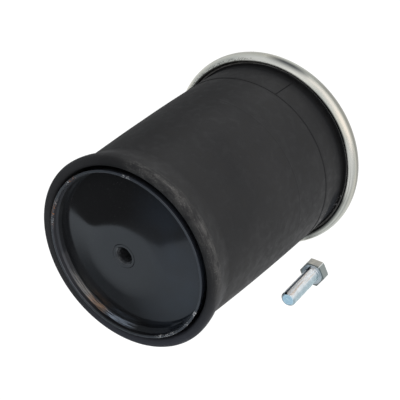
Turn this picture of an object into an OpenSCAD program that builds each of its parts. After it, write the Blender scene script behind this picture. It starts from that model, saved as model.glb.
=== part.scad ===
// Rolling lobe air suspension spring with its loose piston bolt.
// The origin is the middle of the bead plate's mounting face. +Z runs from
// the bead plate to the piston. The spring stands closed on its plate, with
// the bumper on its stop and the fold of the sleeve at the foot of the piston.

/* [Overall] */
// Closed height, from the plate's mounting face to the piston's rim
spring_h = 270; // [255:1:320]
// Gap that is left between bodies that move past each other
run_gap = 0.35; // [0.3:0.05:0.8]
// Smoothness of the round parts
smooth = 96; // [48:8:160]

/* [Bead plate] */
// Thickness of the plate's sheet steel
plate_t = 3; // [2:0.25:4]
// Outer radius of the rolled rim
plate_rim_r = 114.25; // [108:0.25:125]
// Outer radius of the curl, seen in section
curl_r = 8.5; // [8:0.25:10]
// How far the curl runs on above its widest point, in degrees
curl_sweep = 50; // [40:1:60]
// Length of the straight lip at the end of the curl
lip_l = 5.5; // [4:0.25:7]

/* [Plate nuts and air inlet] */
// Distance of a mounting nut's middle from the plate's rim
nut_inset = 35.5; // [33:0.25:50]
// Radius of a mounting nut's flange
nut_r = 13; // [11.5:0.25:15]
// Radius of a mounting nut's barrel
nut_barrel_r = 10; // [9:0.25:11]
// Height of a mounting nut above the plate
nut_h = 19; // [16:0.5:24]
// Tapping radius of the mounting nuts, for M12
nut_thread_r = 5.1; // [4:0.1:6]
// Depth of thread in a mounting nut
nut_thread_l = 16; // [10:0.5:17]
// Distance of the air inlet from the middle
inlet_offset = 60; // [55:0.5:70]
// Radius of the air inlet's boss
inlet_r = 13; // [12:0.25:16]
// Height of the air inlet's boss above the plate
inlet_h = 14; // [10:0.5:20]
// Tapping radius of the air inlet, for M16 with a fine thread
inlet_thread_r = 7.25; // [5:0.05:8]
// Thickness of the flange of a nut or boss that is welded to the plate
flange_t = 3; // [2:0.25:4]
// How much wider a spigot is than the thread in it
spigot_wall = 2.8; // [2:0.1:3.5]

/* [Sleeve] */
// Thickness of the rubber cover
cover_t = 1.3; // [0.8:0.1:1.6]
// Thickness of the cord plies
cord_t = 1; // [0.6:0.1:1.4]
// Thickness of the rubber liner
liner_t = 1.3; // [0.8:0.1:1.6]
// How far the sleeve's outer surface lies inside the plate's rim
sleeve_inset = 13.35; // [12.5:0.05:15]
// How far the sleeve's bulge is drawn out from the neck
bulge_out = 6; // [3:0.1:9]
// How far the neck is drawn in from the outside of the fold
neck_in = 4.8; // [2.5:0.1:6]
// Distance from the piston's rim to the neck
neck_drop = 34; // [30:0.5:45]
// Outer radius of the fold, seen in section
fold_r = 5.9; // [5:0.1:7]
// How far the fold stands off from the piston's wall
fold_off = 2.65; // [1.5:0.05:4]
// Distance from the piston's rim to the middle of the fold
lobe_drop = 6.5; // [6:0.1:12]
// Length of sleeve above the plate that keeps its full radius
wall_straight_l = 42; // [30:1:60]
// Length of the fold's inner leg
leg_l = 13.5; // [10:0.5:20]

/* [Sleeve ends] */
// Height of the moulded bead above the plate's mounting face
bead_h = 22.5; // [19:0.5:26]
// Radius of the wire core in the upper bead
upper_core_r = 2.3; // [1.5:0.1:2.6]
// Radius of the wire core in the lower bead
lower_core_r = 2.3; // [1.5:0.1:2.8]
// Thickness of the chafer strip round the sleeve
strip_t = 0.7; // [0.4:0.1:1.2]
// Height of the chafer strip's edge above the plate's mounting face
strip_h = 58.5; // [40:0.5:80]
// Gap between the ends of the chafer strip at its splice
splice_gap = 0.6; // [0.4:0.1:1.5]
// Direction of the splice from the spring's axis, in degrees from +X
splice_angle = -68; // [-90:1:-30]

/* [Piston] */
// Outer radius of the piston's wall
piston_r = 83; // [78:0.25:88]
// Thickness of the piston's wall
shell_t = 2.5; // [2:0.25:3]
// Length of the piston
piston_l = 190; // [180:1:200]
// Radius of the shoulder at the piston's head
shoulder_r = 18; // [12:0.5:24]
// How far the rim flares out at the foot of the piston
rim_out = 2.5; // [1.5:0.25:3]
// Height of the flare below the rim
flare_h = 14; // [12:0.5:18]
// Depth of the rounding inside the rim
rim_round = 2.2; // [1.5:0.1:3]

/* [Piston base] */
// Thickness of the pressed base
base_t = 2.5; // [2:0.25:3.5]
// Depth of the dish at its foot, where the base meets the piston's wall
dish_depth = 10.4; // [8:0.2:14]
// Length of the base's skirt, which is turned down inside the wall
skirt_l = 14; // [10:0.5:20]
// Height of the weld that fills the corner between the floor and the wall
weld_h = 5.8; // [3:0.2:7]
// Width of that weld where it meets the floor
weld_w = 2; // [1:0.1:3]
// How far the base's flat middle reaches past the centre tube
flat_room = 4; // [1:0.5:8]
// Width of the round edge on each side of the raised middle's corner
centre_soft = 11; // [6:0.5:14]
// How far the raised middle lies below the rim
centre_drop = 1.5; // [1:0.25:3]

/* [Centre column] */
// Room between the threaded boss and the centre tube round it
tube_fit = 1; // [0.5:0.1:3]
// Wall thickness of the centre tube
tube_t = 4; // [2.5:0.25:4.5]
// Outer radius of the threaded boss behind the base
boss_r = 15; // [13.5:0.25:15.5]
// Radius of the boss's spigot in the base
boss_spigot_r = 11.8; // [10.5:0.1:12.5]
// Length of the threaded boss
boss_l = 30; // [24:0.5:40]
// Tapping radius of the boss, for M18 with a fine thread
boss_thread_r = 8.25; // [6:0.05:9]
// Width of the chamfer at the mouth of the thread
boss_chamfer = 1.2; // [0.5:0.1:2]

/* [Bead clamp and bumper] */
// Thickness of the bead clamp plate
clamp_t = 4; // [3:0.25:5]
// How far the clamp plate's edge lies inside the piston's wall
clamp_inset = 22; // [19:0.5:24]
// Width of the clamp plate's sloped flange
clamp_flange_w = 19; // [15:0.5:22]
// Height that the clamp plate's flange rises over the bead
clamp_rise = 14; // [13:0.25:17]
// How far the bumper's foot stays inside the clamp plate's flat middle
bumper_foot_in = 2; // [1:0.5:8]
// Outer radius of the bumper's barrel
bumper_r = 35; // [28:0.5:38]
// Radius of the bumper's rounded nose
bumper_nose_r = 9; // [6:0.5:12]
// Radius of the recess for the bumper's screw
recess_r = 15; // [13.5:0.5:18]
// Thickness of rubber between the screw's washer and the clamp plate
bumper_grip = 32; // [24:1:40]

/* [Bumper screw] */
// Radius of the bumper screw's shank, for M12
screw_r = 6; // [4:0.5:6]
// Width across flats of the screw's head and its nut
screw_af = 19; // [15:0.5:20]
// Height of the screw's head
screw_head_h = 7.5; // [6:0.5:9]
// Height of the screw's nut
screw_nut_h = 10; // [8:0.5:12]
// Thickness of the washer
washer_t = 2.5; // [1.5:0.25:4]
// Outer radius of the washer
washer_r = 12.5; // [11:0.25:13]

/* [Loose piston bolt] */
// Radius of the bolt's shank, for M18
bolt_r = 9; // [6:0.25:10]
// Length of the shank under the head
bolt_l = 60; // [40:1:80]
// Width across flats of the head
bolt_af = 27; // [22:0.5:30]
// Height of the head
bolt_head_h = 11.5; // [8:0.25:13]
// Distance of the bolt from the spring's axis
bolt_away = 156.3; // [145:0.1:190]
// Direction of the bolt from the spring's axis, in degrees from +X
bolt_angle = 161.2; // [120:0.1:200]

/* [Hidden] */
$fn = smooth;

// Small clearances and proportions
weld_fit = 0.05;
flush = 0.2;
hole_clear = 0.5;
edge_soft = 0.8;
chamfer_deg = 30;
corner_in = 0.5;
core_cover = 1;
waist_in = 4;
screw_out = 3;
past = 1;
arc_n = 10;
eps = 0.01;

// Depth of each layer's faces below the sleeve's outer surface
cover_in = cover_t;
cord_in = cover_t + cord_t;
rubber_t = cover_t + cord_t + liner_t;

// Levels along the axis
rim_z = spring_h;
neck_z = rim_z - neck_drop;
lobe_z = rim_z - lobe_drop;
leg_z = lobe_z - leg_l;
head_z = rim_z - piston_l;
shoulder_z = head_z + shoulder_r;
foot_z = rim_z - dish_depth;
centre_z = rim_z - centre_drop;
clamp_z = head_z - clamp_t;
stop_z = plate_t + run_gap;
straight_z = bead_h + wall_straight_l;

// Bead plate: the curl, the nuts' places and the sleeve inside the curl
curl_c = plate_rim_r - curl_r;
curl_in = curl_r - plate_t;
nut_x = plate_rim_r - nut_inset;
wall_plate_r = plate_rim_r - sleeve_inset;

// The fold of the sleeve runs round a circle that stands off from the piston's wall
leg_r = piston_r + run_gap;
fold_in = leg_r + fold_off;
fold_c = fold_in + fold_r;
lobe_r = fold_c + fold_r;
neck_r = lobe_r - neck_in;
wall_mid_r = neck_r + bulge_out;

// What fits in and on the piston
rim_r = piston_r + rim_out;
mouth_r = rim_r - shell_t - flush;
base_r = piston_r - shell_t;
flare_z = rim_z - flare_h;
tube_bore = boss_r + tube_fit;
tube_r = tube_bore + tube_t;
centre_flat_r = tube_r + flat_room;
centre_r = centre_flat_r + centre_soft;
clamp_r = piston_r - clamp_inset;
clamp_flat_r = clamp_r - clamp_flange_w;

function arc(cx, cy, r, from, to, n = arc_n) =
    [for (i = [0:n]) let (a = from + (to - from) * i / n) [cx + r * cos(a), cy + r * sin(a)]];

function mix(a, b, u) = a + (b - a) * u;

function curve3(a, b, c, n = arc_n) =
    [for (i = [0:n]) let (u = i / n) mix(mix(a, b, u), mix(b, c, u), u)];

function curve4(a, b, c, d, n = arc_n) =
    [for (i = [0:n]) let (
        u = i / n,
        p = mix(mix(a, b, u), mix(b, c, u), u),
        q = mix(mix(b, c, u), mix(c, d, u), u)
    ) mix(p, q, u)];

function back(path) = [for (i = [len(path) - 1:-1:0]) path[i]];

function inward(path, d) = [for (p = path) [p[0] - d, p[1]]];

function tip(from, angle, length) = from + length * [-sin(angle), cos(angle)];

// Line of the sleeve's outer run, from the bead up to the neck
wall_line = concat(
    [[wall_plate_r, bead_h]],
    curve3(
        [wall_plate_r, straight_z],
        [wall_mid_r, (straight_z + neck_z) / 2],
        [neck_r, neck_z - run_gap]
    )
);

// Line of the fold, from the neck over the crest to the end of the inner leg
function fold_line(d) = concat(
    inward(curve4(
        [neck_r, neck_z],
        [neck_r, mix(neck_z, lobe_z, 0.4)],
        [lobe_r, mix(neck_z, lobe_z, 0.65)],
        [lobe_r, lobe_z]
    ), d),
    arc(fold_c, lobe_z, fold_r - d, 15, 180, arc_n + 1),
    inward(curve4(
        [fold_in, mix(lobe_z, leg_z, 0.05)],
        [fold_in, mix(lobe_z, leg_z, 0.4)],
        [leg_r, mix(lobe_z, leg_z, 0.6)],
        [leg_r, leg_z]
    ), -d)
);

module ring(path) {
    rotate_extrude()
        polygon(path);
}

module wall_layer(from, to) {
    ring(concat(inward(wall_line, from), back(inward(wall_line, to))));
}

module fold_layer(from, to) {
    ring(concat(fold_line(from), back(fold_line(to))));
}

module run_layer(from, to) {
    ring([
        [piston_r + from, shoulder_z],
        [piston_r + to, shoulder_z],
        [piston_r + to, leg_z - run_gap],
        [piston_r + from, leg_z - run_gap]
    ]);
}

// Bead plate: a flat disc whose rim is rolled over the bead of the sleeve
curl_out_end = arc(curl_c, curl_r, curl_r, curl_sweep, curl_sweep, 1)[0];
curl_in_end = arc(curl_c, curl_r, curl_in, curl_sweep, curl_sweep, 1)[0];

module at_nuts() {
    for (side = [-1, 1])
        translate([side * nut_x, 0, 0])
            children();
}

module at_inlet() {
    translate([0, inlet_offset, 0])
        children();
}

module bead_plate() {
    color("silver")
        difference() {
            ring(concat(
                [[0, plate_t], [0, 0]],
                arc(curl_c, curl_r, curl_r, -90, curl_sweep, 2 * arc_n),
                [tip(curl_out_end, curl_sweep, lip_l)],
                [tip(curl_in_end, curl_sweep, lip_l)],
                arc(curl_c, curl_r, curl_in, curl_sweep, -90, 2 * arc_n)
            ));
            at_nuts()
                translate([0, 0, -past])
                    cylinder(r = nut_thread_r + spigot_wall + weld_fit, h = plate_t + 2 * past);
            at_inlet()
                translate([0, 0, -past])
                    cylinder(r = inlet_thread_r + spigot_wall + weld_fit, h = plate_t + 2 * past);
        }
}

module mounting_nuts() {
    color("gainsboro")
        at_nuts()
            difference() {
                union() {
                    translate([0, 0, flush])
                        cylinder(r = nut_thread_r + spigot_wall, h = plate_t);
                    translate([0, 0, plate_t])
                        cylinder(r = nut_r, h = flange_t);
                    translate([0, 0, plate_t])
                        cylinder(r = nut_barrel_r, h = nut_h);
                }
                translate([0, 0, flush - past])
                    cylinder(r = nut_thread_r, h = nut_thread_l + past);
            }
}

module air_inlet() {
    color("gainsboro")
        at_inlet()
            difference() {
                union() {
                    translate([0, 0, flush])
                        cylinder(r = inlet_thread_r + spigot_wall, h = plate_t);
                    translate([0, 0, plate_t])
                        cylinder(r = inlet_r, h = inlet_h);
                }
                translate([0, 0, -past])
                    cylinder(r = inlet_thread_r, h = plate_t + inlet_h + 2 * past);
            }
}

// Upper bead: fills the curl and leaves an open groove beside the lip
groove_z = tip(curl_in_end, curl_sweep, lip_l / 2)[1];
strip_r = wall_plate_r + strip_t;

module upper_core_section(r) {
    translate([curl_c, curl_r])
        circle(r = r);
}

module upper_bead() {
    color("dimgray")
        rotate_extrude()
            difference() {
                polygon(concat(
                    [[wall_plate_r - rubber_t, plate_t]],
                    arc(curl_c, curl_r, curl_in, -90, curl_sweep, 2 * arc_n),
                    [tip(curl_in_end, curl_sweep, lip_l / 2)],
                    curve3(
                        [mix(strip_r, curl_c, 0.5), groove_z],
                        [strip_r, groove_z],
                        [strip_r, mix(groove_z, bead_h, 0.7)]
                    ),
                    [[strip_r, bead_h], [wall_plate_r - rubber_t, bead_h]]
                ));
                upper_core_section(upper_core_r);
            }
}

module upper_bead_core() {
    color("goldenrod")
        rotate_extrude()
            upper_core_section(upper_core_r);
}

// Slot between the ends of the chafer strip
module splice_slot() {
    rotate(splice_angle)
        translate([strip_r, 0, strip_h])
            cube([6 * strip_t, splice_gap, 2 * strip_h], center = true);
}

module chafer_strip() {
    color("dimgray")
        difference() {
            ring([
                [wall_plate_r + weld_fit, bead_h],
                [strip_r, bead_h],
                [strip_r, strip_h - strip_t],
                [wall_plate_r + weld_fit, strip_h]
            ]);
            splice_slot();
        }
}

module sleeve_cover() {
    color("dimgray")
        wall_layer(0, cover_in);
}

module sleeve_cords() {
    color("khaki")
        wall_layer(cover_in, cord_in);
}

module sleeve_liner() {
    color("slategray")
        wall_layer(cord_in, rubber_t);
}

module lobe_cover() {
    color("dimgray")
        fold_layer(0, cover_in);
}

module lobe_cords() {
    color("khaki")
        fold_layer(cover_in, cord_in);
}

module lobe_liner() {
    color("slategray")
        fold_layer(cord_in, rubber_t);
}

module inner_cover() {
    color("dimgray")
        run_layer(0, cover_in);
}

module inner_cords() {
    color("khaki")
        run_layer(cover_in, cord_in);
}

module inner_liner() {
    color("slategray")
        run_layer(cord_in, rubber_t);
}

// Lower bead: wraps the piston's shoulder and ends in a wedge under the clamp
shoulder_c = piston_r - shoulder_r;
clamp_edge = [clamp_r, head_z - clamp_rise];
clamp_root = [clamp_flat_r, head_z];
core_at = mix(clamp_root, clamp_edge, 0.7) + [0, lower_core_r + core_cover];

module lower_core_section(r) {
    translate(core_at)
        circle(r = r);
}

module lower_bead() {
    color("dimgray")
        rotate_extrude()
            difference() {
                polygon(concat(
                    [clamp_root],
                    arc(shoulder_c, shoulder_z, shoulder_r, -90, 0),
                    arc(shoulder_c, shoulder_z, shoulder_r + rubber_t, 0, -90),
                    [clamp_edge]
                ));
                lower_core_section(lower_core_r);
            }
}

module lower_bead_core() {
    color("goldenrod")
        rotate_extrude()
            lower_core_section(lower_core_r);
}

module bead_clamp() {
    color("darkgray")
        ring([
            [screw_r + hole_clear, head_z],
            clamp_root,
            clamp_edge,
            clamp_edge - [clamp_t / 2, clamp_t],
            clamp_root - [clamp_t / 2, clamp_t],
            [screw_r + hole_clear, clamp_z]
        ]);
}

// Piston shell: a drawn cup, closed at the head and open at its flared rim
module piston_shell() {
    color("black")
        ring(concat(
            [[screw_r + hole_clear, head_z]],
            arc(shoulder_c, shoulder_z, shoulder_r, -90, 0),
            curve3(
                [piston_r, flare_z],
                [mix(piston_r, rim_r, 0.4), mix(flare_z, rim_z, 0.5)],
                [rim_r, rim_z - edge_soft]
            ),
            arc(rim_r - edge_soft, rim_z - edge_soft, edge_soft, 0, 90, 4),
            curve3(
                [rim_r - 2 * edge_soft, rim_z],
                [mouth_r, rim_z],
                [mouth_r, rim_z - rim_round]
            ),
            [[base_r, flare_z]],
            arc(shoulder_c, shoulder_z, shoulder_r - shell_t, 0, -90),
            [[screw_r + hole_clear, head_z + shell_t]]
        ));
}

// Line of the wall inside the flare, as its radius at a height
function wall_in(z) = mix(base_r, mouth_r, (z - flare_z) / (rim_z - rim_round - flare_z));

// Piston base: a low cone round a raised middle, welded in, with a skirt
weld_z = foot_z + weld_h;
foot_r = wall_in(foot_z) - weld_w;
cone_fall = (centre_z - foot_z) / (foot_r - centre_r);
crest = curve3(
    [centre_flat_r, centre_z],
    [centre_r, centre_z],
    [centre_r + centre_soft, centre_z - centre_soft * cone_fall]
);

module piston_base() {
    color("black")
        ring(concat(
            [[boss_spigot_r + weld_fit, centre_z]],
            crest,
            [[foot_r, foot_z], [wall_in(weld_z), weld_z]],
            [[base_r, flare_z], [base_r, foot_z - skirt_l]],
            [[base_r - base_t, foot_z - skirt_l], [base_r - base_t, foot_z - base_t]],
            [for (p = back(crest)) [p[0], p[1] - base_t]],
            [[boss_spigot_r + weld_fit, centre_z - base_t]]
        ));
}

module base_boss() {
    boss_mouth_r = boss_thread_r + boss_chamfer;
    boss_end = centre_z - boss_l;
    color("dimgray")
        ring([
            [boss_thread_r, boss_end],
            [boss_r, boss_end],
            [boss_r, centre_z - base_t],
            [boss_spigot_r, centre_z - base_t],
            [boss_spigot_r, centre_z - flush],
            [boss_mouth_r, centre_z - flush],
            [boss_thread_r, centre_z - flush - boss_chamfer]
        ]);
}

module centre_tube() {
    color("dimgray")
        ring([
            [tube_bore, head_z + shell_t],
            [tube_r, head_z + shell_t],
            [tube_r, centre_z - base_t],
            [tube_bore, centre_z - base_t]
        ]);
}

// Bumper: the rubber stop that meets the bead plate when the spring is closed
washer_z = clamp_z - bumper_grip;
bumper_foot_r = clamp_flat_r - clamp_t / 2 - bumper_foot_in;

module bumper() {
    color("darkslategray")
        ring(concat(
            [[screw_r + hole_clear, clamp_z], [screw_r + hole_clear, washer_z]],
            [[recess_r, washer_z], [recess_r, stop_z]],
            arc(bumper_r - bumper_nose_r, stop_z + bumper_nose_r, bumper_nose_r, -90, 0),
            curve3(
                [bumper_r, mix(stop_z, clamp_z, 0.65)],
                [bumper_r - waist_in, mix(stop_z, clamp_z, 0.75)],
                [bumper_foot_r, mix(stop_z, clamp_z, 0.85)]
            ),
            [[bumper_foot_r, clamp_z]]
        ));
}

module hexagon(af, h) {
    cylinder(r = af / 2 / cos(chamfer_deg), h = h, $fn = 6);
}

// Cone that takes the corners off a hexagon whose free end is at height zero
module corner_cone(af, h) {
    cylinder(r1 = af / 2 - corner_in, r2 = af / 2 - corner_in + h * 2, h = h);
}

module hex_head(af, h) {
    intersection() {
        hexagon(af, h);
        corner_cone(af, h);
    }
}

module bumper_screw() {
    color("silver") {
        translate([0, 0, washer_z - washer_t - screw_head_h])
            hex_head(screw_af, screw_head_h);
        translate([0, 0, washer_z - washer_t - eps])
            cylinder(r = screw_r, h = head_z + shell_t + screw_nut_h + screw_out - washer_z + washer_t);
    }
}

module bumper_washer() {
    color("silver")
        translate([0, 0, washer_z - washer_t])
            difference() {
                cylinder(r = washer_r, h = washer_t);
                translate([0, 0, -past])
                    cylinder(r = screw_r + weld_fit, h = washer_t + 2 * past);
            }
}

module bumper_nut() {
    color("silver")
        translate([0, 0, head_z + shell_t])
            difference() {
                hexagon(screw_af, screw_nut_h);
                translate([0, 0, -past])
                    cylinder(r = screw_r + weld_fit, h = screw_nut_h + 2 * past);
            }
}

// Loose bolt: stands on its head beside the spring
washer_face_h = 0.4;
washer_face_in = 1;
bolt_tip = 1.5;

module piston_bolt() {
    color("lightsteelblue")
        rotate(bolt_angle)
            translate([bolt_away, 0, 0])
                union() {
                    hex_head(bolt_af, bolt_head_h);
                    translate([0, 0, bolt_head_h - eps])
                        cylinder(r = bolt_af / 2 - washer_face_in, h = washer_face_h + eps);
                    translate([0, 0, bolt_head_h])
                        cylinder(r = bolt_r, h = bolt_l - bolt_tip);
                    translate([0, 0, bolt_head_h + bolt_l - bolt_tip])
                        cylinder(r1 = bolt_r, r2 = bolt_r - bolt_tip, h = bolt_tip);
                }
}

bead_plate();
mounting_nuts();
air_inlet();
upper_bead_core();
upper_bead();
chafer_strip();
sleeve_cover();
sleeve_cords();
sleeve_liner();
lobe_cover();
lobe_cords();
lobe_liner();
inner_cover();
inner_cords();
inner_liner();
lower_bead();
lower_bead_core();
bead_clamp();
piston_shell();
piston_base();
base_boss();
centre_tube();
bumper();
bumper_screw();
bumper_washer();
bumper_nut();
piston_bolt();
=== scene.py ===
# %% [markdown]
# # A rolling lobe air spring in Blender
# The real object is a rubber sleeve that is closed at one end by a crimped steel plate
# and rolls over a black painted piston at the other. A loose bolt stands beside it.
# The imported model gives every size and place, so this script only dresses it:
# it reads the frame, makes smoother and richer meshes for what shows, and gives every
# piece a finish that is built from nodes.

import math

import bmesh
import bpy
from mathutils import Matrix, Vector


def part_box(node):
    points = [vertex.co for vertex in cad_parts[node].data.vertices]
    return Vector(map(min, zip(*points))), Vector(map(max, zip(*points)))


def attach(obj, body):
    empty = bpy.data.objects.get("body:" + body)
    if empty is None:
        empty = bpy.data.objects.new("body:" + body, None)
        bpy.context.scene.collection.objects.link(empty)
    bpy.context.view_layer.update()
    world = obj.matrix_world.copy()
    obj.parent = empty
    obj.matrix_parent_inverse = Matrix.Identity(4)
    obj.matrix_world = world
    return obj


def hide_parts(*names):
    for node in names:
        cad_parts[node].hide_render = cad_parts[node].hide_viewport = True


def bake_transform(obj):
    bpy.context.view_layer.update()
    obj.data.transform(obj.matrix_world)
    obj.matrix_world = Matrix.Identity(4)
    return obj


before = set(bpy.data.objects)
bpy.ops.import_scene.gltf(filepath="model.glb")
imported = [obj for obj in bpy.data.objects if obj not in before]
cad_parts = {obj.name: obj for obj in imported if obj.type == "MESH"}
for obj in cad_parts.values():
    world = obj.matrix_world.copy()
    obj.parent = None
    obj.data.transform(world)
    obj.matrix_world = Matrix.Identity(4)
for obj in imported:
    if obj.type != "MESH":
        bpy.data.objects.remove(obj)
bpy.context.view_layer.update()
MM = 0.001

# %% [markdown]
# The photograph looks down on the piston at about 47 degrees and is turned a long way
# round, so that the standing spring seems to lie in the picture. A camera placed by its
# distance from the rim's middle, with one turn about its own line of sight, gives the
# same view. The lens is long, as in most catalogue pictures.

# %% Camera
rim_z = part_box("piston_shell")[1][2]
camera_data = bpy.data.cameras.new("studio_camera")
camera_data.lens = 81
camera_data.sensor_width = 36
camera = bpy.data.objects.new("studio_camera", camera_data)
bpy.context.scene.collection.objects.link(camera)
camera_elevation = math.radians(47.15)
camera_roll = math.radians(-127.1)
camera_from_rim = Vector((-1.1, -620.8, 540.5)) * MM
back = Vector((0, -math.cos(camera_elevation), math.sin(camera_elevation)))
level_right = Vector((1, 0, 0))
level_up = back.cross(level_right)
right = level_right * math.cos(camera_roll) + level_up * math.sin(camera_roll)
up = back.cross(right)
turn = Matrix((right, up, back)).transposed()
camera.matrix_world = Matrix.Translation(Vector((0, 0, rim_z)) + camera_from_rim) @ turn.to_4x4()
bpy.context.scene.camera = camera
print("camera stands at", [round(v, 3) for v in camera.matrix_world.translation])

# %% [markdown]
# A catalogue picture is lit by a white tent: light comes from everywhere, the floor is
# bright enough to wash out its shadows, and a dark and a grey card overhead give the gloss
# paint something to mirror. Without them a black dish would look like flat grey paper.

# %% Glowing sheets
def plain_sheet(name, corners):
    mesh = bpy.data.meshes.new(name)
    mesh.from_pydata(corners, [], [tuple(range(len(corners)))])
    sheet = bpy.data.objects.new(name, mesh)
    bpy.context.scene.collection.objects.link(sheet)
    return sheet


def glow(name, strength=1, paint=0.02):
    finish = bpy.data.materials.new(name)
    finish.use_nodes = True
    shader = finish.node_tree.nodes["Principled BSDF"]
    shader.inputs["Base Color"].default_value = (paint, paint, paint, 1)
    shader.inputs["Roughness"].default_value = 0.9
    shader.inputs["Specular IOR Level"].default_value = 0
    shader.inputs["Emission Color"].default_value = (1, 1, 1, 1)
    shader.inputs["Emission Strength"].default_value = strength
    return finish


def wire(tree, kind, inputs=None, **settings):
    """Adds a node, with its settings, its plain values and its incoming links."""
    made = tree.nodes.new(kind)
    for name, value in settings.items():
        setattr(made, name, value)
    for key, value in (inputs or {}).items():
        if isinstance(value, bpy.types.NodeSocket):
            tree.links.new(value, made.inputs[key])
        else:
            made.inputs[key].default_value = value
    return made


def feed(shader, name, value):
    """Links a value from nodes to the shader's socket of this name."""
    shader.id_data.links.new(value, shader.inputs[name])


def opened(finish):
    """Shader and Object coordinates of a finish."""
    nodes = finish.node_tree.nodes
    return nodes["Principled BSDF"], nodes.new("ShaderNodeTexCoord").outputs["Object"]


def fading(name, way, start, end, first, last):
    """A glow that changes along one direction of the card's own coordinates."""
    finish = glow(name)
    shader, spot = opened(finish)
    tree = shader.id_data
    going = wire(tree, "ShaderNodeVectorMath", {0: spot, 1: way}, operation="DOT_PRODUCT").outputs["Value"]
    share = wire(tree, "ShaderNodeMapRange", {"Value": going, "From Min": start, "From Max": end})
    ends = {0: share.outputs[0], 6: (*first, 1), 7: (*last, 1)}
    mix = wire(tree, "ShaderNodeMix", ends, data_type="RGBA")
    feed(shader, "Emission Color", mix.outputs[2])
    return finish


# %% Floor and cards
floor_reach = 40
floor = plain_sheet("floor", [
    (x * floor_reach, y * floor_reach, 0) for x, y in ((-1, -1), (1, -1), (1, 1), (-1, 1))])
floor.location.z = -0.2 * MM
floor.data.materials.append(glow("white_floor", 1.02, 0.1))

card_z = 1.7
card_start = Vector((-0.19, 0.6))
card_end = Vector((0.88, 2.56))
card_way = (card_end - card_start).normalized()
card_side = Vector((card_way.y, -card_way.x)) * 1.1
card_foot = card_start - card_way * 0.4
card_head = card_end + card_way * 0.6
card_corners = [card_foot, card_head, card_head + card_side, card_foot + card_side]
card = plain_sheet("dark_card", [(c.x, c.y, card_z) for c in card_corners])
card.data.materials.append(
    fading("dark_card", (1, 0, 0), 0.0, 0.4, (0.2, 0.2, 0.2), (0.055, 0.055, 0.055)))
grey_card = plain_sheet("grey_card", [(0.028, 1.0, card_z), (1.175, 3.1, card_z), (4.0, 9.0, card_z),
                                      (-7.0, 9.0, card_z), (-2.6, 1.0, card_z)])
grey_card.data.materials.append(
    fading("grey_card", (1, -1, 0), -4.2, -0.7, (0.1, 0.115, 0.13), (1.0, 1.06, 1.12)))
print("floor and cards:", floor.name, card.name, grey_card.name)

# %% Sky and lights
world = bpy.data.worlds.new("white_tent")
world.use_nodes = True
sky = world.node_tree.nodes["Background"]
sky.inputs["Color"].default_value = (0.93, 0.96, 1, 1)
sky.inputs["Strength"].default_value = 0.85
bpy.context.scene.world = world
bpy.context.scene.view_settings.view_transform = "Standard"


def softbox(name, at, aim, size, power, colour=(1, 1, 1)):
    light = bpy.data.lights.new(name, "AREA")
    light.shape = "RECTANGLE"
    light.size, light.size_y = size
    light.energy = power
    light.color = colour
    lamp = bpy.data.objects.new(name, light)
    lamp.location = at
    lamp.rotation_euler = (Vector(aim) - Vector(at)).to_track_quat("-Z", "Y").to_euler()
    bpy.context.scene.collection.objects.link(lamp)


softbox("side_light", (-1.6, 0.9, 1.1), (0, 0, 0.15), (1.4, 1.6), 2.5, (1, 0.98, 0.95))
softbox("near_light", (-0.35, -1.9, 0.7), (0, 0, 0.1), (2.9, 1.5), 15, (1, 0.86, 0.82))
softbox("high_light", (0.1, -1.14, 1.64), (0, 0, 0.1), (2.6, 1.2), 3.2, (1, 0.97, 0.92))
print("cards hang", card_z, "m up, lights:", len(bpy.data.lights))

# %% [markdown]
# Almost every piece of this object is round about one axis, so it is drawn as an outline
# of (radius, height) points and turned. The outlines use a few helpers for arcs and
# smooth curves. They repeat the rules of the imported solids, with sizes read from them.

# %% Outline helpers
def arc(centre, radius, start, end, steps=16):
    angles = [math.radians(start + (end - start) * i / steps) for i in range(steps + 1)]
    return [(centre[0] + radius * math.cos(a), centre[1] + radius * math.sin(a)) for a in angles]


def bend(points, steps=24):
    """Points along the Bezier curve that these control points give."""
    found = []
    for i in range(steps + 1):
        level = [Vector(p) for p in points]
        while len(level) > 1:
            level = [a.lerp(b, i / steps) for a, b in zip(level, level[1:])]
        found.append(tuple(level[0]))
    return found


def inward(path, depth):
    return [(r - depth, z) for r, z in path]


def filled(path, gap):
    """The same path with extra points, so that no stretch is longer than gap."""
    found = []
    for (r0, z0), (r1, z1) in zip(path, path[1:] + path[:1]):
        steps = max(1, math.ceil(math.hypot(r1 - r0, z1 - z0) / gap))
        found += [(r0 + (r1 - r0) * i / steps, z0 + (z1 - z0) * i / steps) for i in range(steps)]
    return found


def reach(node):
    """Largest radius, lowest point and highest point of a round node of the frame."""
    low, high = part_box(node)
    return high[0], low[2], high[2]


# %% [markdown]
# Turning is a rule, so Geometry Nodes do it. A grid is bent round the axis: each row takes
# its radius and height from one point of the outline, each column an angle. The seam and
# the poles are welded, and a noise field may push the surface in and out a little, which
# is what stops moulded rubber and pressed steel from looking like perfect plastic.

# %% The turning tree
def sums(operation, a, b=0.0):
    """One step of arithmetic in the tree that the socket a belongs to."""
    return wire(a.id_data, "ShaderNodeMath", {0: a, 1: b}, operation=operation).outputs[0]


def new_inputs(tree, wanted):
    for name, kind, value in wanted:
        socket = tree.interface.new_socket(name, in_out="INPUT", socket_type=kind)
        if value is not None:
            socket.default_value = value
    tree.interface.new_socket("Geometry", in_out="OUTPUT", socket_type="NodeSocketGeometry")
    given = tree.nodes.new("NodeGroupInput")
    return {name: given.outputs[name] for name, kind, value in wanted}


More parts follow.
